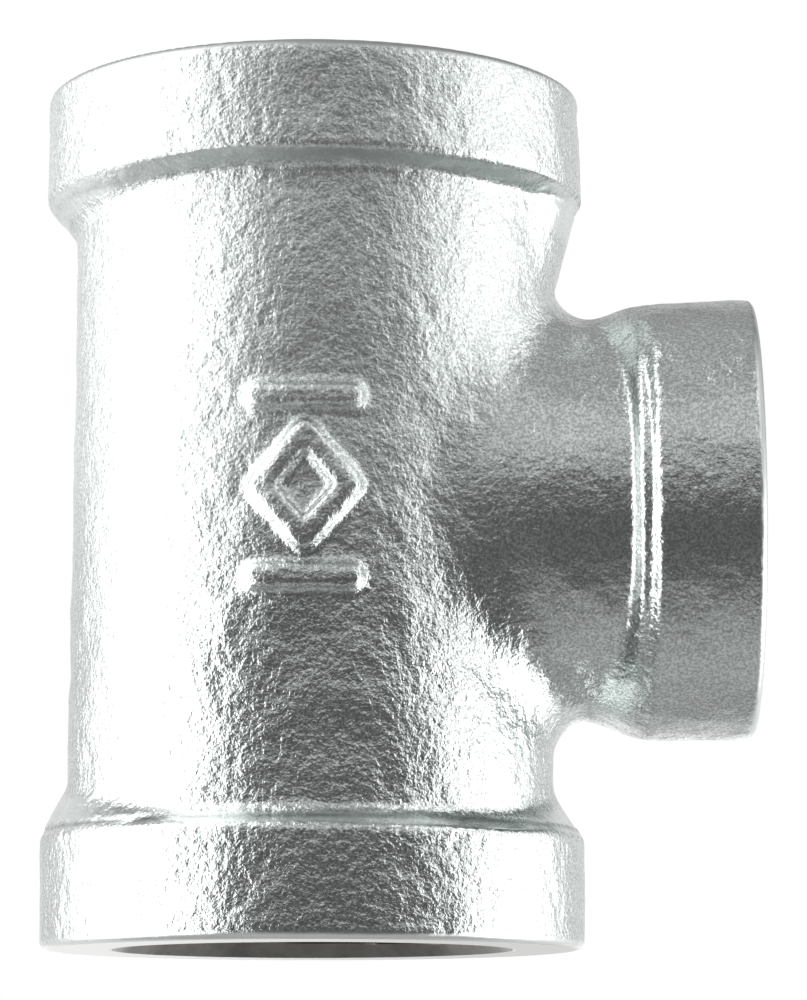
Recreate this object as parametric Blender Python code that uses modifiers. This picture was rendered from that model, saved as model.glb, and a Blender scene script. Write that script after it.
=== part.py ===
"""Banded reducing tee, 3/4 x 3/4 x 1/2 inch, in galvanised malleable iron.

The tee stands upright on its lower port. +Z runs up through the two 3/4 inch run ports
and +X points out of the 1/2 inch branch port. The origin is the centre of the bounding
box's bottom. The casting is one node. The thread cut in each port is a node of its own,
because it is bare machined iron inside a galvanised casting.
"""

import math

import bmesh
import bpy
from mathutils import Matrix, Vector

INCH = 0.0254

# Driving dimensions of the pipe threads, in metres (American taper pipe thread, 14 to the inch)
THREAD_PITCH = INCH / 14
THREAD_HEIGHT = 0.8 * THREAD_PITCH
THREAD_TAPER = 1 / 16            # change of diameter over length
RUN_PITCH_DIAMETER = 0.98887 * INCH
BRANCH_PITCH_DIAMETER = 0.77843 * INCH
RUN_THREAD_LENGTH = 0.0130
BRANCH_THREAD_LENGTH = 0.0112
RUN_OUT = 1.2 * THREAD_PITCH     # length over which the last turn fades away
THREAD_BACKING = 0.0007          # metal kept behind the thread's root
COUNTERSINK_MARGIN = 0.0005      # how far the 45 degree mouth reaches past the thread's root
SEAM = 0.0003                    # gap between the casting and each threaded lining

# Driving dimensions of the casting
RUN_LENGTH = 0.0604              # face to face of the two run ports
BRANCH_REACH = 0.0310            # run axis to the face of the branch port
RUN_THREAD_WALL = 0.0027         # body outside the run linings
BRANCH_THREAD_WALL = 0.0025      # neck outside the branch lining
BODY_WALL = 0.0034               # body outside its cored passage
NECK_WALL = 0.0031
RUN_BAND_RISE = 0.0020           # how far the run bands stand out from the body
RUN_BAND_WIDTH = 0.0075
RUN_SHOULDER_LENGTH = 0.0024     # sloping step from a run band down to the body
BRANCH_BAND_RISE = 0.0014
BRANCH_BAND_WIDTH = 0.0074
BRANCH_SHOULDER_LENGTH = 0.0027
BAND_CORNER_RADIUS = 0.0007      # outer corner at each port face
SHOULDER_FILLET_RADIUS = 0.0012  # hollow where a shoulder runs out onto the body or neck
CROTCH_RADIUS = 0.0032           # fillet between the body and the branch neck

# Plain raised mark on the front of the body, level with the branch: a lozenge between two bars
MARK_HEIGHT = 0.00045
MARK_LENGTH = 0.0135             # along the run
MARK_WIDTH = 0.0076              # across the run
MARK_STROKE = 0.0013

# Facets
RUN_STEPS = 64
BRANCH_STEPS = 56
THREAD_STEPS = 44
CORNER_STEPS = 3
CROTCH_STEPS = 6
CROTCH_RELEASE = math.radians(9)  # the fillet stops this short of lying flat on either surface
OVERSHOOT = 0.001                # how far a guide runs past the surface that it cuts or joins


def lining_radius(pitch_diameter):
    """Outer radius of a threaded lining: its thread's root plus the backing."""
    return (pitch_diameter + THREAD_HEIGHT) / 2 + THREAD_BACKING


# Worked out from the above
BODY_RADIUS = lining_radius(RUN_PITCH_DIAMETER) + SEAM + RUN_THREAD_WALL
NECK_RADIUS = lining_radius(BRANCH_PITCH_DIAMETER) + SEAM + BRANCH_THREAD_WALL
RUN_BAND_RADIUS = BODY_RADIUS + RUN_BAND_RISE
BRANCH_BAND_RADIUS = NECK_RADIUS + BRANCH_BAND_RISE
AXIS_X = (RUN_BAND_RADIUS - BRANCH_REACH) / 2
AXIS_Z = RUN_LENGTH / 2
BRANCH_AXIS = Matrix.Translation((AXIS_X, 0, AXIS_Z)) @ Matrix.Rotation(math.radians(90), 4, "Y")


def clear_scene():
    for item in list(bpy.data.objects):
        bpy.data.objects.remove(item, do_unlink=True)


def new_collection(name):
    collection = bpy.data.collections.new(name)
    bpy.context.scene.collection.children.link(collection)
    return collection


def new_object(name, mesh, collection):
    item = bpy.data.objects.new(name, mesh)
    collection.objects.link(item)
    return item


def as_guide(item):
    """A guide shapes another object and is no part of the tee."""
    item.hide_render = True
    item.display_type = "WIRE"
    return item


def make_material(name, colour, metallic, roughness):
    material = bpy.data.materials.new(name)
    material.use_nodes = True
    shader = material.node_tree.nodes["Principled BSDF"]
    shader.inputs["Base Color"].default_value = (*colour, 1)
    shader.inputs["Metallic"].default_value = metallic
    shader.inputs["Roughness"].default_value = roughness
    return material


# Outlines: lists of (radius, height), read from the outer face of a port inwards

def arc(centre, radius, start, end, steps):
    """Points on a circle from one angle to another, in degrees."""
    points = []
    for step in range(steps + 1):
        angle = math.radians(start + (end - start) * step / steps)
        points.append((centre[0] + radius * math.cos(angle), centre[1] + radius * math.sin(angle)))
    return points


def rounded_hollow(start, corner, end_direction, radius, steps):
    """The fillet in a hollow corner, between the line from start and the line along end_direction."""
    corner = Vector(corner)
    towards_start = (Vector(start) - corner).normalized()
    towards_end = Vector(end_direction).normalized()
    half_angle = towards_start.angle(towards_end) / 2
    reach = radius / math.tan(half_angle)
    centre = corner + (towards_start + towards_end).normalized() * radius / math.sin(half_angle)
    first = corner + towards_start * reach - centre
    last = corner + towards_end * reach - centre
    sweep = first.angle_signed(last)
    points = []
    for step in range(steps + 1):
        turned = first @ Matrix.Rotation(sweep * step / steps, 2)
        points.append(tuple(centre + turned))
    return points


def band_outline(face, band_radius, band_width, shoulder_length, inner_radius):
    """Port face, rounded corner, band, sloping shoulder and the hollow at its foot."""
    corner = arc((band_radius - BAND_CORNER_RADIUS, face - BAND_CORNER_RADIUS),
                 BAND_CORNER_RADIUS, 90, 0, CORNER_STEPS)
    lip = (band_radius, face - band_width)
    foot = (inner_radius, face - band_width - shoulder_length)
    hollow = rounded_hollow(lip, foot, (0, -1), SHOULDER_FILLET_RADIUS, CORNER_STEPS)
    return [(0, face), *corner, lip, *hollow]


def turned(name, outline, steps, collection):
    """A solid of revolution about its own Z; the outline runs from the axis at the top to the bottom."""
    mesh = bpy.data.meshes.new(name)
    points = [(radius, 0, height) for radius, height in outline]
    edges = [(index, index + 1) for index in range(len(points) - 1)]
    mesh.from_pydata(points, edges, [])
    item = new_object(name, mesh, collection)
    screw = item.modifiers.new("Turn", "SCREW")
    screw.steps = steps
    screw.render_steps = steps
    screw.use_merge_vertices = True
    screw.merge_threshold = 1e-6
    return item


def boolean(item, operation, other, label):
    modifier = item.modifiers.new(label, "BOOLEAN")
    modifier.operation = operation
    modifier.solver = "EXACT"
    modifier.object = other


# The casting

def run_blank(collection):
    upper = band_outline(RUN_LENGTH / 2, RUN_BAND_RADIUS, RUN_BAND_WIDTH, RUN_SHOULDER_LENGTH,
                         BODY_RADIUS)
    lower = [(radius, -height) for radius, height in reversed(upper)]
    item = turned("tee_casting", upper + lower, RUN_STEPS, collection)
    item.location = (AXIS_X, 0, AXIS_Z)
    return item


def branch_blank(collection):
    """The branch, solid from its port face to the run's axis."""
    outline = band_outline(BRANCH_REACH, BRANCH_BAND_RADIUS, BRANCH_BAND_WIDTH,
                           BRANCH_SHOULDER_LENGTH, NECK_RADIUS)
    outline += [(NECK_RADIUS, 0), (0, 0)]
    item = as_guide(turned("branch_blank", outline, BRANCH_STEPS, collection))
    item.matrix_world = BRANCH_AXIS
    return item


def crotch_section(angle):
    """The fillet's section at an angle round the branch, in a frame with +X out of the branch.

    A ball of the fillet's radius rolls in the hollow between the neck and the body. Its arc
    stops a little short of lying flat on either. The last three points sink the section into
    the body, into both and into the neck, so that it joins them cleanly.
    """
    across = math.sin(angle)
    up = math.cos(angle)
    reach = NECK_RADIUS + CROTCH_RADIUS
    out = math.sqrt((BODY_RADIUS + CROTCH_RADIUS) ** 2 - (reach * across) ** 2)
    centre = Vector((out, reach * across, reach * up))
    to_neck = Vector((0, -across, -up))
    to_body = Vector((-centre.x, -centre.y, 0)).normalized()
    sweep = to_neck.angle(to_body)
    release = min(CROTCH_RELEASE, sweep / 4)
    points = []
    for step in range(CROTCH_STEPS + 1):
        turn = release + (sweep - 2 * release) * step / CROTCH_STEPS
        direction = (to_neck * math.sin(sweep - turn) + to_body * math.sin(turn)) / math.sin(sweep)
        points.append(centre + direction * CROTCH_RADIUS)

    inner_body = BODY_RADIUS - OVERSHOOT
    inner_neck = NECK_RADIUS - OVERSHOOT
    last = Vector((points[-1].x, points[-1].y, 0)).normalized() * inner_body
    points.append(Vector((last.x, last.y, points[-1].z)))
    corner = math.sqrt(inner_body ** 2 - (inner_neck * across) ** 2)
    points.append(Vector((corner, inner_neck * across, inner_neck * up)))
    points.append(Vector((points[0].x, inner_neck * across, inner_neck * up)))
    return points


def crotch_fillet(collection):
    """The fillet between the branch neck and the body: its sections lofted round the branch."""
    shape = bmesh.new()
    sections = []
    for step in range(BRANCH_STEPS):
        points = crotch_section(2 * math.pi * step / BRANCH_STEPS)
        sections.append([shape.verts.new(point) for point in points])
    for near, far in zip(sections, sections[1:] + sections[:1]):
        for index in range(len(near)):
            after = (index + 1) % len(near)
            shape.faces.new((near[index], near[after], far[after], far[index]))
    bmesh.ops.recalc_face_normals(shape, faces=shape.faces)
    mesh = bpy.data.meshes.new("crotch_fillet")
    shape.to_mesh(mesh)
    shape.free()
    item = as_guide(new_object("crotch_fillet", mesh, collection))
    item.location = (AXIS_X, 0, AXIS_Z)
    return item


def cavity_outline(face, lining, thread_length, cavity):
    """Half of a bore: the seat of a threaded lining, then the cored cavity behind it."""
    ledge = face - thread_length - SEAM
    seat = lining + SEAM
    return [(0, face + OVERSHOOT), (seat, face + OVERSHOOT), (seat, ledge), (cavity, ledge)]


def run_cavity(collection):
    upper = cavity_outline(RUN_LENGTH / 2, lining_radius(RUN_PITCH_DIAMETER), RUN_THREAD_LENGTH,
                           BODY_RADIUS - BODY_WALL)
    lower = [(radius, -height) for radius, height in reversed(upper)]
    item = as_guide(turned("run_cavity", upper + lower, RUN_STEPS, collection))
    item.location = (AXIS_X, 0, AXIS_Z)
    return item


def branch_cavity(collection):
    outline = cavity_outline(BRANCH_REACH, lining_radius(BRANCH_PITCH_DIAMETER),
                             BRANCH_THREAD_LENGTH, NECK_RADIUS - NECK_WALL)
    outline += [(NECK_RADIUS - NECK_WALL, 0), (0, 0)]
    item = as_guide(turned("branch_cavity", outline, BRANCH_STEPS, collection))
    item.matrix_world = BRANCH_AXIS
    return item


def prism(shape, rings, depth):
    """Flat outlines in X and Z, carried from the body's middle out through its front.

    One ring gives a bar. Two rings of as many corners give the frame between them.
    """
    fronts = [[shape.verts.new((x, -depth, z)) for x, z in ring] for ring in rings]
    backs = [[shape.verts.new((x, 0, z)) for x, z in ring] for ring in rings]
    count = len(rings[0])
    for front, back in zip(fronts, backs):
        for index in range(count):
            after = (index + 1) % count
            shape.faces.new((front[index], front[after], back[after], back[index]))
    for layer in (fronts, backs):
        if len(rings) == 1:
            shape.faces.new(layer[0])
            continue
        outer, inner = layer
        for index in range(count):
            after = (index + 1) % count
            shape.faces.new((outer[index], outer[after], inner[after], inner[index]))


def lozenge(half_width, half_height):
    return [(half_width, 0), (0, half_height), (-half_width, 0), (0, -half_height)]


def mark_height_guide(collection):
    """The round surface that the mark's top follows."""
    radius = BODY_RADIUS + MARK_HEIGHT
    reach = MARK_LENGTH / 2 + OVERSHOOT
    outline = [(0, reach), (radius, reach), (radius, -reach), (0, -reach)]
    item = as_guide(turned("mark_height", outline, 2 * RUN_STEPS, collection))
    item.location = (AXIS_X, 0, AXIS_Z)
    return item


def foundry_mark(collection):
    """A lozenge between two bars, raised by MARK_HEIGHT from the round body."""
    half_width = MARK_WIDTH / 2
    bar_top = MARK_LENGTH / 2
    bar_foot = bar_top - MARK_STROKE
    point = bar_foot - MARK_STROKE
    inner_point = point - MARK_STROKE * math.sqrt(2)
    depth = BODY_RADIUS + MARK_HEIGHT + OVERSHOOT
    shape = bmesh.new()
    for side in (1, -1):
        prism(shape, [[(-half_width, side * bar_top), (half_width, side * bar_top),
                       (half_width, side * bar_foot), (-half_width, side * bar_foot)]], depth)
    prism(shape, [lozenge(half_width, point),
                  lozenge(half_width * inner_point / point, inner_point)], depth)
    bmesh.ops.recalc_face_normals(shape, faces=shape.faces)
    mesh = bpy.data.meshes.new("foundry_mark")
    shape.to_mesh(mesh)
    shape.free()
    item = as_guide(new_object("foundry_mark", mesh, collection))
    item.location = (AXIS_X, 0, AXIS_Z)
    boolean(item, "INTERSECT", mark_height_guide(collection), "Height")
    return item


# The threads

def thread_radius(depth, turns, pitch_diameter, length):
    """Radius of the threaded wall at a depth and an angle, the angle given in turns."""
    phase = (depth / THREAD_PITCH + turns) % 1
    rise = 1 - abs(2 * phase - 1)
    fade = min(1, (length - depth) / RUN_OUT)
    crest = (pitch_diameter - THREAD_TAPER * depth - THREAD_HEIGHT) / 2
    return crest + THREAD_HEIGHT * rise * fade


def threaded_lining(name, pitch_diameter, length, place, collection, guides):
    """A ring with a right-handed thread inside; its own +Z points out of the port.

    Rows follow the thread's crests and roots. A row that would leave the ring stays on the
    ring's end, where doubled corners are merged.
    """
    shape = bmesh.new()
    rows = 2 * math.ceil(length / THREAD_PITCH) + 4
    outer = lining_radius(pitch_diameter)
    columns = []
    for step in range(THREAD_STEPS):
        turns = step / THREAD_STEPS
        cosine = math.cos(2 * math.pi * turns)
        sine = math.sin(2 * math.pi * turns)
        column = []
        for row in range(rows):
            depth = min(max((row / 2 - turns) * THREAD_PITCH, 0), length)
            radius = thread_radius(depth, turns, pitch_diameter, length)
            column.append(shape.verts.new((radius * cosine, radius * sine, -depth)))
        top = shape.verts.new((outer * cosine, outer * sine, 0))
        bottom = shape.verts.new((outer * cosine, outer * sine, -length))
        columns.append([*column, bottom, top])
    for step in range(THREAD_STEPS):
        near = columns[step]
        far = columns[(step + 1) % THREAD_STEPS]
        if step == THREAD_STEPS - 1:
            # one turn on, the thread has moved by one pitch, which is two rows
            far = [far[0], far[0], *far[:rows - 2], *far[rows:]]
        for row in range(len(near)):
            after = (row + 1) % len(near)
            corners = []
            for corner in (near[row], near[after], far[after], far[row]):
                if corner not in corners:
                    corners.append(corner)
            if len(corners) > 2:
                shape.faces.new(corners)
    bmesh.ops.remove_doubles(shape, verts=shape.verts, dist=1e-6)
    bmesh.ops.recalc_face_normals(shape, faces=shape.faces)
    mesh = bpy.data.meshes.new(name)
    shape.to_mesh(mesh)
    shape.free()
    item = new_object(name, mesh, collection)
    item.matrix_world = place
    boolean(item, "DIFFERENCE", countersink(name, pitch_diameter, place, guides), "Countersink")
    return item


def countersink(name, pitch_diameter, place, guides):
    """A 45 degree cone that opens the thread's mouth."""
    mouth = (pitch_diameter + THREAD_HEIGHT) / 2 + COUNTERSINK_MARGIN
    depth = COUNTERSINK_MARGIN + THREAD_HEIGHT + OVERSHOOT
    shape = bmesh.new()
    bmesh.ops.create_cone(shape, cap_ends=True, segments=THREAD_STEPS, radius1=mouth - depth,
                          radius2=mouth + OVERSHOOT, depth=depth + OVERSHOOT,
                          matrix=Matrix.Translation((0, 0, (OVERSHOOT - depth) / 2)))
    mesh = bpy.data.meshes.new(name + "_countersink")
    shape.to_mesh(mesh)
    shape.free()
    item = as_guide(new_object(name + "_countersink", mesh, guides))
    item.matrix_world = place
    return item


def build_tee():
    clear_scene()
    parts = new_collection("reducing_tee")
    guides = new_collection("cutters")
    zinc = make_material("galvanised_zinc", (0.62, 0.64, 0.63), 0.9, 0.42)
    iron = make_material("bare_machined_iron", (0.30, 0.29, 0.27), 1.0, 0.35)

    casting = run_blank(parts)
    boolean(casting, "UNION", crotch_fillet(guides), "Crotch")
    boolean(casting, "UNION", branch_blank(guides), "Branch")
    boolean(casting, "UNION", foundry_mark(guides), "Mark")
    boolean(casting, "DIFFERENCE", run_cavity(guides), "Run bore")
    boolean(casting, "DIFFERENCE", branch_cavity(guides), "Branch bore")
    casting.data.materials.append(zinc)

    upper_port = Matrix.Translation((AXIS_X, 0, RUN_LENGTH))
    lower_port = Matrix.Translation((AXIS_X, 0, 0)) @ Matrix.Rotation(math.pi, 4, "X")
    branch_port = BRANCH_AXIS @ Matrix.Translation((0, 0, BRANCH_REACH))
    linings = (
        ("run_thread_upper", RUN_PITCH_DIAMETER, RUN_THREAD_LENGTH, upper_port),
        ("run_thread_lower", RUN_PITCH_DIAMETER, RUN_THREAD_LENGTH, lower_port),
        ("branch_thread", BRANCH_PITCH_DIAMETER, BRANCH_THREAD_LENGTH, branch_port),
    )
    for name, pitch_diameter, length, place in linings:
        lining = threaded_lining(name, pitch_diameter, length, place, parts, guides)
        lining.data.materials.append(iron)


build_tee()
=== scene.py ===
"""Looks of the galvanised reducing tee.

Shapes are worked out in millimetres, in the part's own frame, with +Z up.
"""

import itertools
import math

import bpy
import numpy as np
from mathutils import Matrix, Vector


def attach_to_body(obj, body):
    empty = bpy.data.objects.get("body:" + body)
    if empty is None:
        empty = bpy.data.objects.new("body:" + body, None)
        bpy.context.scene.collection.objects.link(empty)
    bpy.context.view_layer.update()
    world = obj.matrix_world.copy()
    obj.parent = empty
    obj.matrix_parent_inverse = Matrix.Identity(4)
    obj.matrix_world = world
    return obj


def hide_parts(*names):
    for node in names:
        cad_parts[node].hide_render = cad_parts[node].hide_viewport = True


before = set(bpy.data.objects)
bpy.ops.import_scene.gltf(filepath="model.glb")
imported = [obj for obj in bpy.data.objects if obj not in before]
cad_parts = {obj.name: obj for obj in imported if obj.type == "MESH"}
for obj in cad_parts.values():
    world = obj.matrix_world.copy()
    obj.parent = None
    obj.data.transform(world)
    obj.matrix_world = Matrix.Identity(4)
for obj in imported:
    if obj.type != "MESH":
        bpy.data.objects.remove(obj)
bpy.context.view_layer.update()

MM = 0.001

# Sizes shared with the CAD part (millimetres)
PITCH = 25.4 / 14
THREAD_HEIGHT = 0.8 * PITCH
THREAD_TAPER = 1 / 16
RUN_PITCH_DIAMETER = 0.98887 * 25.4
BRANCH_PITCH_DIAMETER = 0.77843 * 25.4
RUN_THREAD_LENGTH = 13.0
BRANCH_THREAD_LENGTH = 11.2
THREAD_BACKING = 0.7
RUN_LENGTH = 60.4
BRANCH_END = 24.992
AXIS_X = -6.008
AXIS_Z = RUN_LENGTH / 2
RUN_LINING = 13.984
BRANCH_LINING = 11.312
RUN_CAVITY = 13.584
BRANCH_CAVITY = 11.012

# The casting's outside
BODY_RADIUS = 16.95
RUN_BAND_RADIUS = 18.98
NECK_RADIUS = 14.1
BRANCH_BAND_RADIUS = 15.5
RUN_BAND_WIDTH = 7.5
END_CORNER = 0.6
GRID_STEP = 0.36

# The mark on the front: half sizes of its bars and its lozenge, and how far out the bars sit
MARK_HEIGHT = 0.72
BAR_HALF_LENGTH = 3.2
BAR_OFFSET = 6.1
LOZENGE_HALF_WIDTH = 3.0
LOZENGE_HALF_HEIGHT = 3.6

# Colours
ZINC_DARK = (0.69, 0.725, 0.71, 1)
ZINC_LIGHT = (0.78, 0.815, 0.80, 1)
SPECK = (0.29, 0.32, 0.31, 1)
# Dark line round the run's lower shoulder, 8.0 to 8.3 mm up
SHOULDER_LINE = (0.20, 0.22, 0.21, 1)
# Painted dark reflection on the rounded corners by the upper ends
RIM_DARK_REFLECTION = (0.25, 0.26, 0.25, 1)
BARE_END = (0.64, 0.64, 0.62, 1)
IRON_DARK = (0.11, 0.108, 0.10, 1)
IRON_LIGHT = (0.22, 0.216, 0.20, 1)

# Light from around: azimuth from, to and edge in degrees, with 0 in front and 90 on the
# branch's side; sine of the elevation from, to and edge; brightness
LIGHT_PANELS = (
    (-122, -42, 6, -0.70, 0.96, 0.05, 2.40),
    (-180, -122, 12, -0.70, 0.62, 0.10, 0.74),
    (68, 122, 6, -0.70, 0.15, 0.12, 2.60),
    (54, 122, 7, 0.15, 0.80, 0.12, 1.40),
    (122, 180, 12, -0.70, 0.62, 0.10, 0.74),
    (-180, -166, 5, -0.30, 0.00, 0.06, 0.75),
    (166, 180, 5, -0.30, 0.00, 0.06, 0.75),
    (-38, 64, 9, 0.37, 0.80, 0.04, 0.49),
    (-38, 54, 9, 0.200, 0.37, 0.055, 0.30),
)
LIGHT_ABOVE = 0.36
LIGHT_BELOW = 0.38
LIGHT_EVERYWHERE = 0.14


# Noise and small mathematics

def smooth_step(low, high, value):
    """0 below low, 1 above high, and smooth between."""
    t = np.clip((value - low) / (high - low), 0, 1)
    return t * t * (3 - 2 * t)


def hinge(value, width):
    """0 below zero, the value itself above it, and rounded over width."""
    rounded = (value + width / 2) ** 2 / (2 * width)
    return np.where(value < -width / 2, 0, np.where(value > width / 2, value, rounded))


def ramp(value, start, stop, start_width, stop_width):
    """Climbs from 0 at start to 1 at stop, each bend rounded over its own width."""
    climb = hinge(value - start, start_width) - hinge(value - stop, stop_width)
    return climb / (stop - start)


def noise(points, cell, seed):
    """Smooth noise between -1 and 1 that changes over about one cell."""
    q = points / cell + 0.37 * seed
    base = np.floor(q).astype(np.int64)
    t = q - base
    s = t * t * t * (t * (6 * t - 15) + 10)
    total = np.zeros(len(points))
    for corner in itertools.product((0, 1), repeat=3):
        at = base + np.array(corner)
        key = at[:, 0] * 73856093 ^ at[:, 1] * 19349663 ^ at[:, 2] * 83492791 ^ seed * 2654435
        key = (key ^ (key >> 13)) * 1274126177
        key = (key ^ (key >> 16)) & 0xFFFF
        weight = np.prod(np.where(np.array(corner) == 1, s, 1 - s), axis=1)
        total += weight * (key / 32767.5 - 1)
    return total


# The outside of the casting, as a signed distance

def facing(turn, centre, inner, outer):
    """1 within inner degrees of a direction, falling to 0 at outer degrees."""
    away = np.abs((np.degrees(turn) - centre + 180) % 360 - 180)
    return 1 - smooth_step(inner, outer, away)


def run_radius(height, turn):
    """Radius of the run's skin; turn is 0 towards the branch and -90 degrees at the front."""
    left = (0.5 - 0.5 * np.cos(turn)) ** 6
    right = facing(turn, 0, 4, 42)
    lip = RUN_LENGTH - RUN_BAND_WIDTH
    top = ramp(height, lip - 0.65 - 2.0 * left, lip, 0.95 + 0.3 * left, 0.3)
    web = np.clip((height - lip + 6.9) / 6.9, 0, 1)
    web = 0.84 * web * np.clip(1 - (np.degrees(turn) / 27) ** 2, 0, 1)
    over = np.clip(web - top + 0.06, 0, None)
    top = np.where(web > top, web, top) + np.where(web > top, 0, over ** 2)
    foot = -RUN_BAND_WIDTH - 1.05 - 2.75 * left - 2.2 * right
    low = ramp(-height, foot, -RUN_BAND_WIDTH, 0.9 + 0.9 * right, 0.35)
    return BODY_RADIUS + (RUN_BAND_RADIUS - BODY_RADIUS) * (top + low)


def branch_radius(x, turn):
    """Radius of the branch's skin; turn is 0 towards +Z and 90 degrees at the front."""
    front = np.abs(np.sin(turn))
    side = (1 - front ** 2) ** 2
    first = ramp(x, 16.15 - 2.75 * side, 16.6 - 0.9 * side, 0.4 + 2.0 * side, 0.3 + 1.1 * side)
    second = ramp(x, 17.4 - 2.1 * side, 17.75 - 0.35 * side, 0.35 + 1.25 * side, 0.3)
    draft = 0.25 * side * np.clip((x - 17.4) / 6, 0, 1) * (np.cos(turn) > 0)
    rise = BRANCH_BAND_RADIUS - 0.2 * side * (np.cos(turn) > 0) - NECK_RADIUS
    return NECK_RADIUS + rise * (0.64 * first + 0.36 * second) + draft


def stroke(distance):
    """Soft-edged ridge of the cast mark, as a share of its height."""
    return 1 - smooth_step(0.45, 1.2, distance)


def segment_distance(x, z, start, stop):
    """Distance of points from a straight stroke."""
    along = np.array(stop) - np.array(start)
    t = ((x - start[0]) * along[0] + (z - start[1]) * along[1]) / (along @ along)
    t = np.clip(t, 0, 1)
    return np.hypot(x - start[0] - t * along[0], z - start[1] - t * along[1])


def cast_mark(x, z):
    """Height of the plain mark on the front: a lozenge between two bars."""
    ends = []
    for side in (1, -1):
        bar = BAR_OFFSET * side
        tip = (0, LOZENGE_HALF_HEIGHT * side)
        ends.append(((-BAR_HALF_LENGTH, bar), (BAR_HALF_LENGTH, bar)))
        ends.append(((-LOZENGE_HALF_WIDTH, 0), tip))
        ends.append(((LOZENGE_HALF_WIDTH, 0), tip))
    distance = np.full(len(x), 9.0)
    for start, stop in ends:
        distance = np.minimum(distance, segment_distance(x, z, start, stop))
    return MARK_HEIGHT * stroke(distance)


def capped(side, cap, radius):
    """Meeting of a side and an end face with a rounded corner."""
    a = side + radius
    b = cap + radius
    both = np.hypot(np.maximum(a, 0), np.maximum(b, 0)) - radius
    return np.where((a > 0) & (b > 0), both, np.maximum(a, b) - radius)


def run_field(p):
    """Distance from the run's skin; the body leans a little, its bands don't."""
    lean = 0.12 * np.tanh((p[:, 2] - AXIS_Z) / 12)
    band = np.abs(p[:, 2] - AXIS_Z) > AXIS_Z - RUN_BAND_WIDTH - 0.8
    x = p[:, 0] - AXIS_X - np.where(band, 0, lean)
    reach = np.hypot(x, p[:, 1])
    turn = np.arctan2(p[:, 1], x)
    height = p[:, 2]
    radius = run_radius(height, turn)
    near = (p[:, 1] < 0) & (np.abs(x) < 6) & (np.abs(height - AXIS_Z) < 9)
    mark = np.zeros(len(p))
    mark[near] = cast_mark(x[near], height[near] - AXIS_Z)
    side = reach - radius - mark
    cap = np.abs(height - AXIS_Z) - AXIS_Z
    return capped(side, cap, END_CORNER)


def branch_field(p):
    """Distance from the branch's skin."""
    x = p[:, 0] - AXIS_X
    reach = np.hypot(p[:, 1], p[:, 2] - AXIS_Z)
    turn = np.arctan2(-p[:, 1], p[:, 2] - AXIS_Z)
    side = reach - branch_radius(p[:, 0] - AXIS_X - 6.0, turn)
    cap = np.maximum(p[:, 0] - BRANCH_END, -x)
    return capped(side, cap, END_CORNER)


def casting_field(p):
    """Both skins, joined by a rolling-ball fillet."""
    a = run_field(p)
    b = branch_field(p)
    x = p[:, 0] - AXIS_X
    run_reach = np.maximum(np.hypot(x, p[:, 1]), 1e-6)
    branch_reach = np.maximum(np.hypot(p[:, 1], p[:, 2] - AXIS_Z), 1e-6)
    agree = np.clip(p[:, 1] ** 2 / (run_reach * branch_reach), 0, 0.97)
    ball = 2.9 + 4.5 * np.clip(np.abs(p[:, 1]) / 14, 0, 1) ** 2
    gap_a = ball - a
    gap_b = ball - b
    inside = (gap_a > agree * gap_b) & (gap_b > agree * gap_a)
    inside &= (x > 4) & (a > -3) & (b > -3) & (gap_a > 0) & (gap_b > 0)
    square = gap_a ** 2 + gap_b ** 2 - 2 * agree * gap_a * gap_b
    arc = ball - np.sqrt(np.maximum(square, 0) / (1 - agree ** 2))
    return np.where(inside, arc, np.minimum(a, b))


def slope(field, p, step=0.01):
    """Gradient of a field by small differences."""
    columns = []
    for axis in range(3):
        shift = np.zeros(3)
        shift[axis] = step
        columns.append((field(p + shift) - field(p - shift)) / (2 * step))
    return np.stack(columns, axis=1)


def settle(field, p, rounds):
    """Moves points onto the field's surface."""
    for _ in range(rounds):
        gradient = slope(field, p)
        size = np.maximum((gradient ** 2).sum(1), 0.2)
        p = p - gradient * (np.clip(field(p), -0.4, 0.4) / size)[:, None]
    return p


# Meshing

def sample_grid(field, low, high, step):
    """Values of a field at every corner of a grid."""
    counts = np.ceil((high - low) / step).astype(int) + 1
    axes = [low[i] + step * np.arange(counts[i]) for i in range(3)]
    values = np.empty(counts)
    y, z = np.meshgrid(axes[1], axes[2], indexing="ij")
    for i, x in enumerate(axes[0]):
        layer = np.column_stack([np.full(y.size, x), y.ravel(), z.ravel()])
        values[i] = field(layer).reshape(y.shape)
    return values


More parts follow.
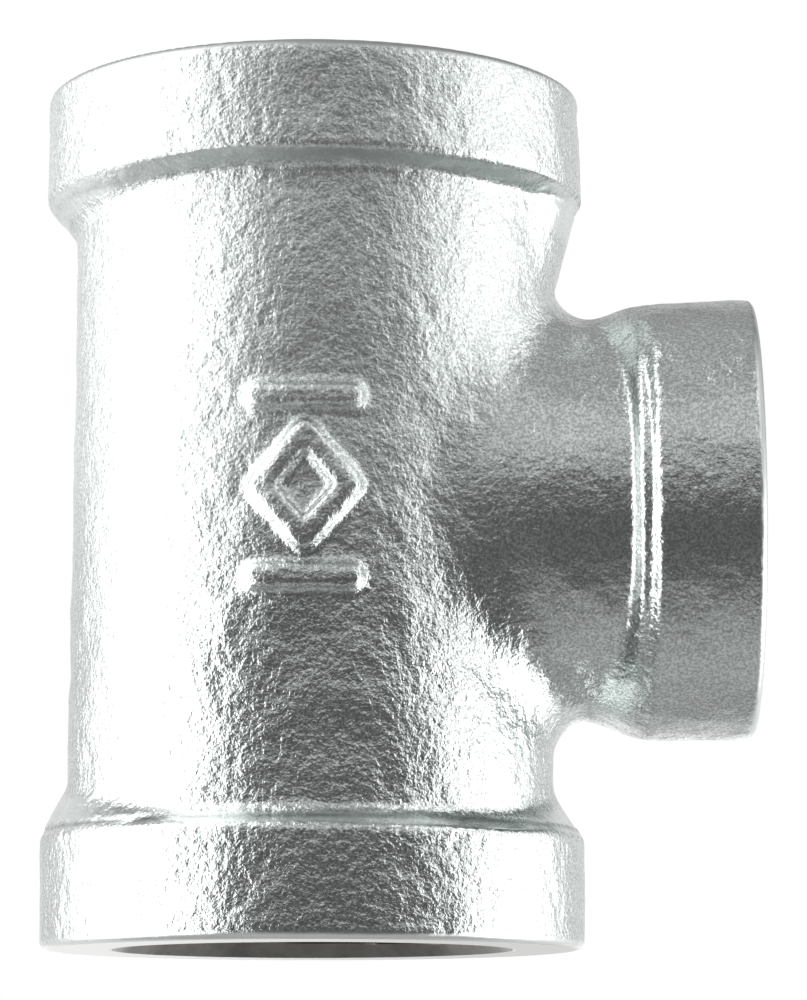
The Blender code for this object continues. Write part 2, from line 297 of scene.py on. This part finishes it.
def surface_net(values, low, step):
    """Quads around a sampled field's zero level, with one point in each crossed cell."""
    inside = values < 0
    corners = list(itertools.product((0, 1), repeat=3))
    counts = np.array(values.shape) - 1
    total = np.zeros(counts, int)
    for i, j, k in corners:
        total += inside[i:i + counts[0], j:j + counts[1], k:k + counts[2]]
    cells = np.argwhere((total > 0) & (total < 8))
    number = -np.ones(counts, int)
    number[tuple(cells.T)] = np.arange(len(cells))
    point_sum = np.zeros((len(cells), 3))
    crossings = np.zeros(len(cells))
    for a, b in itertools.combinations(corners, 2):
        if sum(abs(m - n) for m, n in zip(a, b)) != 1:
            continue
        value_a = values[tuple((cells + a).T)]
        value_b = values[tuple((cells + b).T)]
        crossed = (value_a < 0) != (value_b < 0)
        t = np.where(crossed, value_a / np.where(crossed, value_a - value_b, 1), 0)
        point = cells + np.array(a) + t[:, None] * (np.array(b) - np.array(a))
        point_sum += np.where(crossed[:, None], point, 0)
        crossings += crossed
    points = low + step * point_sum / crossings[:, None]
    faces = []
    for axis in range(3):
        u = np.eye(3, dtype=int)[(axis + 1) % 3]
        v = np.eye(3, dtype=int)[(axis + 2) % 3]
        ahead = np.roll(inside, -1, axis=axis)
        edges = np.argwhere(inside != ahead)
        fits = (edges[:, axis] < values.shape[axis] - 1)
        edges = edges[fits & (edges @ u > 0) & (edges @ v > 0)]
        ring = [number[tuple(e.T)] for e in (edges - u - v, edges - v, edges, edges - u)]
        quads = np.stack(ring, axis=1)
        outward = inside[tuple(edges.T)]
        faces.append(np.where(outward[:, None], quads, quads[:, ::-1]))
    return points, np.concatenate(faces)


def relax(points, faces, amount):
    """Moves every point part of the way to the middle of its neighbours."""
    total = np.zeros_like(points)
    count = np.zeros(len(points))
    for near, far in ((0, 1), (1, 2), (2, 3), (3, 0)):
        np.add.at(total, faces[:, near], points[faces[:, far]])
        np.add.at(total, faces[:, far], points[faces[:, near]])
        np.add.at(count, faces[:, near], 1)
        np.add.at(count, faces[:, far], 1)
    return points + amount * (total / count[:, None] - points)


def mesh_object(name, points, faces):
    """A smooth-shaded mesh object from points in millimetres."""
    mesh = bpy.data.meshes.new(name)
    mesh.from_pydata((points * MM).tolist(), [], [list(map(int, f)) for f in faces])
    mesh.validate()
    mesh.shade_smooth()
    item = bpy.data.objects.new(name, mesh)
    bpy.context.scene.collection.objects.link(item)
    return item


# The cast and galvanised skin

def skin_relief(p):
    """How far the cast surface stands proud of its ideal shape."""
    relief = 0.10 * noise(p, 8.0, 1) + 0.055 * noise(p, 3.1, 2)
    relief += 0.050 * noise(p, 1.6, 3) + 0.024 * noise(p, 0.9, 4)
    pits = np.clip(noise(p, 0.9, 5) - 0.62, 0, 1)
    relief -= 0.18 * pits
    ends = np.minimum(p[:, 2], RUN_LENGTH - p[:, 2])
    ends = np.minimum(ends, BRANCH_END - p[:, 0])
    return relief * smooth_step(0.05, 0.9, ends)


def casting_skin():
    """The casting's outside as a closed mesh, without its bores."""
    low = np.array([AXIS_X - RUN_BAND_RADIUS - 0.8, -RUN_BAND_RADIUS - 0.8, -0.8])
    high = np.array([BRANCH_END + 0.8, RUN_BAND_RADIUS + 0.8, RUN_LENGTH + 0.8])
    step = GRID_STEP * 1
    points, faces = surface_net(sample_grid(casting_field, low, high, step), low, step)
    points = settle(casting_field, points, 2)
    for _ in range(3):
        points = relax(points, faces, 0.5)
        points = settle(casting_field, points, 1)
    points = settle(casting_field, points, 2)
    gradient = slope(casting_field, points, 0.05)
    normal = gradient / np.maximum(np.linalg.norm(gradient, axis=1), 1e-6)[:, None]
    points = points + normal * skin_relief(points)[:, None]
    return mesh_object("galvanised_casting", points, faces)


def lathe(name, outline, steps, place=Matrix.Identity(4)):
    """A solid turned from (radius, height) corners, the first and last on the axis."""
    turns = 2 * np.pi * np.arange(steps) / steps
    rings = outline[1:-1]
    points = [(0, 0, outline[0][1])]
    for radius, height in rings:
        for turn in turns:
            points.append((radius * math.cos(turn), radius * math.sin(turn), height))
    points.append((0, 0, outline[-1][1]))
    faces = []
    for k in range(steps):
        after = (k + 1) % steps
        faces.append((0, 1 + after, 1 + k))
        for ring in range(len(rings) - 1):
            low = 1 + ring * steps
            faces.append((low + k, low + after, low + steps + after, low + steps + k))
        last = 1 + (len(rings) - 1) * steps
        faces.append((last + k, last + after, len(points) - 1))
    item = mesh_object(name, np.array(points, float), faces)
    item.data.transform(place)
    return item


def run_bore():
    """Cutter for the run: two thread seats and the cored passage between them."""
    mouth = RUN_LINING
    length = RUN_THREAD_LENGTH
    return lathe("run_bore", [
        (0, -1), (mouth, -1), (mouth, length), (RUN_CAVITY, length),
        (RUN_CAVITY, RUN_LENGTH - length), (mouth, RUN_LENGTH - length),
        (mouth, RUN_LENGTH + 1), (0, RUN_LENGTH + 1),
    ], 160, Matrix.Translation((AXIS_X * MM, 0, 0)))


def branch_place():
    """Turns +Z into the branch's own direction."""
    turn = Matrix.Rotation(math.radians(90), 4, "Y")
    return Matrix.Translation((0, 0, AXIS_Z * MM)) @ turn


def branch_bore():
    """Cutter for the branch, from the run's axis out through its mouth."""
    seat = BRANCH_END - BRANCH_THREAD_LENGTH
    return lathe("branch_bore", [
        (0, AXIS_X), (BRANCH_CAVITY, AXIS_X), (BRANCH_CAVITY, seat), (BRANCH_LINING, seat),
        (BRANCH_LINING, BRANCH_END + 1), (0, BRANCH_END + 1),
    ], 128, branch_place())


def cut(item, cutter):
    """Takes a cutter out of a solid and removes the cutter."""
    step = item.modifiers.new("cut", "BOOLEAN")
    step.operation = "DIFFERENCE"
    step.solver = "MANIFOLD"
    step.object = cutter
    graph = bpy.context.evaluated_depsgraph_get()
    mesh = bpy.data.meshes.new_from_object(item.evaluated_get(graph))
    item.modifiers.clear()
    old = item.data
    item.data = mesh
    bpy.data.meshes.remove(old)
    bpy.data.objects.remove(cutter)


def galvanised_casting():
    item = casting_skin()
    cut(item, run_bore())
    cut(item, branch_bore())
    item.data.name = "galvanised_casting"
    return item


# The pipe threads

def thread_wall(depth, turns, pitch_diameter, length):
    """Radius of the threaded wall: a vee with narrow flats, faded out at its inner end."""
    phase = (depth / PITCH + turns) % 1
    vee = np.clip(1 - np.abs(2 * phase - 1), 0.06, 0.94)
    fade = np.clip((length - depth) / (1.2 * PITCH), 0, 1)
    crest = (pitch_diameter - THREAD_TAPER * depth - THREAD_HEIGHT) / 2
    return crest + THREAD_HEIGHT * (vee - 0.06) / 0.88 * fade


def thread_ring(name, pitch_diameter, length, place):
    """A threaded lining with a countersunk mouth; its own +Z points out of the port."""
    steps = 160
    rows = int(length / PITCH * 22)
    lining = (pitch_diameter + THREAD_HEIGHT) / 2 + THREAD_BACKING
    mouth = lining - 0.2
    depths = np.linspace(0, length, rows)
    turns = np.arange(steps) / steps
    depth, turn = np.meshgrid(depths, turns, indexing="ij")
    wall = thread_wall(depth, turn, pitch_diameter, length)
    wall = np.maximum(wall, mouth - depth)
    rings = [(wall[k], np.full(steps, -depths[k])) for k in range(rows)]
    rings.append((np.full(steps, lining), np.full(steps, -length)))
    rings.append((np.full(steps, lining), np.zeros(steps)))
    points = []
    for radius, height in rings:
        angle = 2 * np.pi * turns
        points.append(np.column_stack([radius * np.cos(angle), radius * np.sin(angle), height]))
    points = np.concatenate(points)
    faces = []
    for ring in range(len(rings)):
        after_ring = (ring + 1) % len(rings)
        for k in range(steps):
            after = (k + 1) % steps
            faces.append((ring * steps + k, ring * steps + after,
                          after_ring * steps + after, after_ring * steps + k))
    item = mesh_object(name, points, faces)
    item.data.transform(place)
    item.data.set_sharp_from_angle(angle=math.radians(40))
    return item


# Materials

def new_material(name):
    material = bpy.data.materials.new(name)
    material.use_nodes = True
    nodes = material.node_tree.nodes
    return material, nodes, material.node_tree.links, nodes["Principled BSDF"]


def noise_node(nodes, links, place, scale, detail, roughness=0.55):
    node = nodes.new("ShaderNodeTexNoise")
    node.inputs["Scale"].default_value = scale
    node.inputs["Detail"].default_value = detail
    node.inputs["Roughness"].default_value = roughness
    links.new(place, node.inputs["Vector"])
    return node.outputs["Fac"]


def map_range(nodes, links, value, low, high, to_low, to_high):
    node = nodes.new("ShaderNodeMapRange")
    node.inputs["From Min"].default_value = low
    node.inputs["From Max"].default_value = high
    node.inputs["To Min"].default_value = to_low
    node.inputs["To Max"].default_value = to_high
    links.new(value, node.inputs["Value"])
    return node.outputs["Result"]


def mathematics(nodes, links, operation, first, second):
    node = nodes.new("ShaderNodeMath")
    node.operation = operation
    for socket, value in zip(node.inputs, (first, second)):
        if isinstance(value, (int, float)):
            socket.default_value = value
        else:
            links.new(value, socket)
    return node.outputs["Value"]


def mix_colour(nodes, links, factor, first, second):
    node = nodes.new("ShaderNodeMix")
    node.data_type = "RGBA"
    links.new(factor, node.inputs["Factor"])
    for socket, value in ((node.inputs[6], first), (node.inputs[7], second)):
        if isinstance(value, tuple):
            socket.default_value = value
        else:
            links.new(value, socket)
    return node.outputs[2]


def bump(nodes, links, height, distance, strength, normal=None):
    node = nodes.new("ShaderNodeBump")
    node.inputs["Distance"].default_value = distance
    if isinstance(strength, float):
        node.inputs["Strength"].default_value = strength
    else:
        links.new(strength, node.inputs["Strength"])
    links.new(height, node.inputs["Height"])
    if normal is not None:
        links.new(normal, node.inputs["Normal"])
    return node.outputs["Normal"]


def soft_window(nodes, links, value, low, high, soft):
    """1 where a value is between low and high, with soft edges."""
    rise = nodes.new("ShaderNodeMapRange")
    rise.interpolation_type = "SMOOTHSTEP"
    rise.inputs["From Min"].default_value = low - soft
    rise.inputs["From Max"].default_value = low + soft
    links.new(value, rise.inputs["Value"])
    fall = nodes.new("ShaderNodeMapRange")
    fall.interpolation_type = "SMOOTHSTEP"
    fall.inputs["From Min"].default_value = high - soft
    fall.inputs["From Max"].default_value = high + soft
    fall.inputs["To Min"].default_value = 1
    fall.inputs["To Max"].default_value = 0
    links.new(value, fall.inputs["Value"])
    return mathematics(nodes, links, "MULTIPLY", rise.outputs["Result"], fall.outputs["Result"])


def zinc_colour(nodes, links, place, split, masks):
    """Pale zinc with dark specks, a dark line round the lower shoulder, a painted dark
    reflection on the corners by the upper ends and bare machined ends.
    """
    tone = noise_node(nodes, links, place, 260, 4, 0.6)
    speck = noise_node(nodes, links, place, 5200, 2, 0.7)
    colour = mix_colour(nodes, links, map_range(nodes, links, tone, 0.3, 0.7, 0, 1),
                        ZINC_DARK, ZINC_LIGHT)
    spots = map_range(nodes, links, speck, 0.43, 0.58, 1, 0)
    spots = mathematics(nodes, links, "MULTIPLY", spots, masks["rough_skin"])
    spots = mathematics(nodes, links, "MULTIPLY", spots, 0.62)
    colour = mix_colour(nodes, links, spots, colour, SPECK)
    # A darker line round the run at 8.0 to 8.3 mm height, on the lower shoulder, its strength
    # varied by the tone noise
    shoulder_line = soft_window(nodes, links, split.outputs["Z"], 0.00798, 0.00826, 0.00018)
    patchy = map_range(nodes, links, tone, 0.38, 0.62, 0.30, 0.90)
    shoulder_line = mathematics(nodes, links, "MULTIPLY", shoulder_line, patchy)
    colour = mix_colour(nodes, links, shoulder_line, colour, SHOULDER_LINE)
    # Painted dark reflection: darkens the rounded corners within 0.6 mm of the top end and of
    # the upper part of the branch end
    rim = mathematics(nodes, links, "SUBTRACT", 1.0, masks["cast"])
    rim = mathematics(nodes, links, "MULTIPLY", rim, masks["upper"])
    rim = mathematics(nodes, links, "MULTIPLY", rim, 0.75)
    colour = mix_colour(nodes, links, rim, colour, RIM_DARK_REFLECTION)
    return mix_colour(nodes, links, masks["bare"], colour, BARE_END)


def zinc_roughness(nodes, links, masks):
    """Duller on the run's upper half, a little duller on the branch and the end corners."""
    on_run = mathematics(nodes, links, "SUBTRACT", 1.0, masks["branch"])
    dull = mathematics(nodes, links, "MULTIPLY", masks["upper"], on_run)
    rough = map_range(nodes, links, dull, 0, 1, 0.17, 0.37)
    on_branch = map_range(nodes, links, masks["branch"], 0, 1, 0, 0.05)
    rough = mathematics(nodes, links, "ADD", rough, on_branch)
    corner = map_range(nodes, links, masks["cast"], 0, 1, 0.15, 0)
    return mathematics(nodes, links, "ADD", rough, corner)


def zinc_relief(nodes, links, place, masks):
    """Fine grain over soft lumps, weaker on the branch and absent from machined ends."""
    lumps = noise_node(nodes, links, place, 1500, 2, 0.5)
    grain = noise_node(nodes, links, place, 4000, 2, 0.65)
    strength = map_range(nodes, links, masks["branch"], 0, 1, 0.95, 0.70)
    strength = mathematics(nodes, links, "MULTIPLY", strength, masks["rough_skin"])
    first = bump(nodes, links, lumps, 0.00013, strength)
    return bump(nodes, links, grain, 0.00006, strength, first)


def zinc_material():
    """Hot-dip zinc over a rough casting: bright, grainy metal, smoother on the branch."""
    material, nodes, links, shader = new_material("galvanised_zinc")
    place = nodes.new("ShaderNodeTexCoord").outputs["Object"]
    split = nodes.new("ShaderNodeSeparateXYZ")
    links.new(place, split.inputs["Vector"])
    end = end_distance(nodes, links, split)
    cast = map_range(nodes, links, end, 0.0003, 0.0006, 0, 1)
    shoulder = shoulder_mask(nodes, links, split)
    open_skin = mathematics(nodes, links, "SUBTRACT", 1.0, shoulder)
    masks = {
        "cast": cast,
        "bare": map_range(nodes, links, end, 0.00002, 0.00005, 1, 0),
        "rough_skin": mathematics(nodes, links, "MULTIPLY", cast, open_skin),
        "branch": map_range(nodes, links, split.outputs["X"], 0.004, 0.011, 0, 1),
        "upper": map_range(nodes, links, split.outputs["Z"], 0.021, 0.034, 0, 1),
    }
    shader.inputs["Metallic"].default_value = 1
    links.new(zinc_colour(nodes, links, place, split, masks), shader.inputs["Base Color"])
    links.new(zinc_roughness(nodes, links, masks), shader.inputs["Roughness"])
    links.new(zinc_relief(nodes, links, place, masks), shader.inputs["Normal"])
    return material


def shoulder_mask(nodes, links, split):
    """Near 1 on the run's two shoulders, where the zinc ran smooth."""
    x = mathematics(nodes, links, "SUBTRACT", split.outputs["X"], AXIS_X * MM)
    x = mathematics(nodes, links, "MULTIPLY", x, x)
    y = mathematics(nodes, links, "MULTIPLY", split.outputs["Y"], split.outputs["Y"])
    reach = mathematics(nodes, links, "SQRT", mathematics(nodes, links, "ADD", x, y), 0.0)
    mask = soft_window(nodes, links, reach, 0.01745, 0.01875, 0.0002)
    height = split.outputs["Z"]
    low = soft_window(nodes, links, height, 0.0070, 0.0115, 0.0005)
    high = soft_window(nodes, links, height, 0.0500, 0.0535, 0.0005)
    both = mathematics(nodes, links, "ADD", low, high)
    mask = mathematics(nodes, links, "MULTIPLY", mask, both)
    return mathematics(nodes, links, "MULTIPLY", mask, 0.62)


def end_distance(nodes, links, split):
    """Distance in metres from the nearest of the three machined end planes."""
    top = mathematics(nodes, links, "SUBTRACT", RUN_LENGTH * MM, split.outputs["Z"])
    side = mathematics(nodes, links, "SUBTRACT", BRANCH_END * MM, split.outputs["X"])
    run = mathematics(nodes, links, "MINIMUM", top, split.outputs["Z"])
    return mathematics(nodes, links, "MINIMUM", run, side)


def iron_material():
    """Bare threaded iron, a little oily, with fine tool marks."""
    material, nodes, links, shader = new_material("bare_machined_iron")
    place = nodes.new("ShaderNodeTexCoord").outputs["Object"]
    grain = noise_node(nodes, links, place, 2400, 3, 0.6)
    tone = noise_node(nodes, links, place, 300, 4, 0.6)
    colour = mix_colour(nodes, links, map_range(nodes, links, tone, 0.3, 0.7, 0, 1),
                        IRON_DARK, IRON_LIGHT)
    links.new(colour, shader.inputs["Base Color"])
    shader.inputs["Metallic"].default_value = 1
    shader.inputs["Roughness"].default_value = 0.36
    links.new(bump(nodes, links, grain, 0.00003, 0.6), shader.inputs["Normal"])
    return material


# Camera, floor and light

def look_rotation(forward, up):
    """Rotation of a camera that looks along forward."""
    back = -forward.normalized()
    right = up.cross(back).normalized()
    top = back.cross(right)
    return Matrix((right, top, back)).transposed().to_quaternion()


def make_camera():
    """The photographer's view: a long lens, a little below the tee and nearly square to it."""
    turn = math.radians(-0.854)
    tilt = math.radians(8.862)
    roll = math.radians(0.042)
    forward = Vector((math.sin(turn) * math.cos(tilt), math.cos(turn) * math.cos(tilt),
                      math.sin(tilt)))
    side = Vector((math.cos(turn), -math.sin(turn), 0))
    rise = Vector((-math.sin(turn) * math.sin(tilt), -math.cos(turn) * math.sin(tilt),
                   math.cos(tilt)))
    up = side * math.sin(roll) + rise * math.cos(roll)
    data = bpy.data.cameras.new("camera")
    data.lens = 147.47
    data.sensor_width = 36
    data.shift_x = 0.011
    data.shift_y = -0.0215
    data.clip_start = 0.01
    data.clip_end = 10
    camera = bpy.data.objects.new("camera", data)
    camera.location = Vector((3.88, -286.87, -11.49)) * MM
    camera.rotation_mode = "QUATERNION"
    camera.rotation_quaternion = look_rotation(forward, up)
    bpy.context.scene.collection.objects.link(camera)
    bpy.context.scene.camera = camera


def floor_material():
    """Matt and nearly white from above, clear from below."""
    material, nodes, links, shader = new_material("floor")
    shader.inputs["Base Color"].default_value = (0.86, 0.86, 0.86, 1)
    shader.inputs["Roughness"].default_value = 0.9
    shader.inputs["Emission Color"].default_value = (1, 1, 1, 1)
    shader.inputs["Emission Strength"].default_value = 0.22
    clear = nodes.new("ShaderNodeBsdfTransparent")
    mix = nodes.new("ShaderNodeMixShader")
    links.new(nodes.new("ShaderNodeNewGeometry").outputs["Backfacing"], mix.inputs["Fac"])
    links.new(shader.outputs["BSDF"], mix.inputs[1])
    links.new(clear.outputs["BSDF"], mix.inputs[2])
    links.new(mix.outputs["Shader"], nodes["Material Output"].inputs["Surface"])
    return material


def make_floor():
    """A pale floor that is seen from above only and stays out of the reflections."""
    steps = 96
    rings = (0.01, 60.0, 4000.0)
    points = []
    for radius in rings:
        for k in range(steps):
            turn = 2 * math.pi * k / steps
            points.append((AXIS_X + radius * math.cos(turn), radius * math.sin(turn), -0.3))
    faces = []
    for ring in range(len(rings) - 1):
        for k in range(steps):
            after = (k + 1) % steps
            low = ring * steps
            faces.append((low + k, low + steps + k, low + steps + after, low + after))
    floor = mesh_object("floor", np.array(points), faces)
    floor.data.materials.append(floor_material())
    floor.visible_glossy = False
    floor.visible_shadow = False


def studio():
    """Soft light from all round: two wide bright panels at the sides, darker in front."""
    world = bpy.data.worlds.new("studio")
    bpy.context.scene.world = world
    world.use_nodes = True
    nodes = world.node_tree.nodes
    links = world.node_tree.links
    background = nodes["Background"]
    place = nodes.new("ShaderNodeTexCoord").outputs["Generated"]
    split = nodes.new("ShaderNodeSeparateXYZ")
    links.new(place, split.inputs["Vector"])
    x, y, z = split.outputs
    back = mathematics(nodes, links, "MULTIPLY", y, -1.0)
    angle = mathematics(nodes, links, "ARCTAN2", x, back)
    degrees = mathematics(nodes, links, "MULTIPLY", angle, 180 / math.pi)
    total = None
    for start, stop, edge, low, high, rim, power in LIGHT_PANELS:
        across = soft_window(nodes, links, degrees, start, stop, edge)
        upward = soft_window(nodes, links, z, low, high, rim)
        panel = mathematics(nodes, links, "MULTIPLY", across, upward)
        panel = mathematics(nodes, links, "MULTIPLY", panel, power)
        total = panel if total is None else mathematics(nodes, links, "ADD", total, panel)
    above = map_range(nodes, links, z, 0.55, 0.85, 0, LIGHT_ABOVE)
    below = map_range(nodes, links, z, -0.60, -0.98, 0, LIGHT_BELOW)
    total = mathematics(nodes, links, "ADD", total, above)
    total = mathematics(nodes, links, "ADD", total, below)
    total = mathematics(nodes, links, "ADD", total, LIGHT_EVERYWHERE)
    path = nodes.new("ShaderNodeLightPath")
    seen = nodes.new("ShaderNodeMix")
    seen.data_type = "FLOAT"
    links.new(path.outputs["Is Camera Ray"], seen.inputs["Factor"])
    links.new(total, seen.inputs[2])
    seen.inputs[3].default_value = 1.0
    links.new(seen.outputs[0], background.inputs["Strength"])
    background.inputs["Color"].default_value = (1, 1, 1, 1)


def attach(item, node, material):
    """Gives a piece its material, hangs it on the root body and hides the CAD node that it
    stands for.
    """
    item.data.materials.clear()
    item.data.materials.append(material)
    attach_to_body(item, "root")
    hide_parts(node)


zinc = zinc_material()
iron = iron_material()
attach(galvanised_casting(), "tee_casting", zinc)
upper_place = Matrix.Translation((AXIS_X * MM, 0, RUN_LENGTH * MM))
lower_place = Matrix.Translation((AXIS_X * MM, 0, 0)) @ Matrix.Rotation(math.pi, 4, "X")
branch_mouth = branch_place() @ Matrix.Translation((0, 0, BRANCH_END * MM))
attach(thread_ring("upper_run_thread", RUN_PITCH_DIAMETER, RUN_THREAD_LENGTH, upper_place),
       "run_thread_upper", iron)
attach(thread_ring("lower_run_thread", RUN_PITCH_DIAMETER, RUN_THREAD_LENGTH, lower_place),
       "run_thread_lower", iron)
attach(thread_ring("branch_pipe_thread", BRANCH_PITCH_DIAMETER, BRANCH_THREAD_LENGTH,
                   branch_mouth), "branch_thread", iron)

make_floor()
studio()
make_camera()
bpy.context.scene.view_settings.view_transform = "Standard"
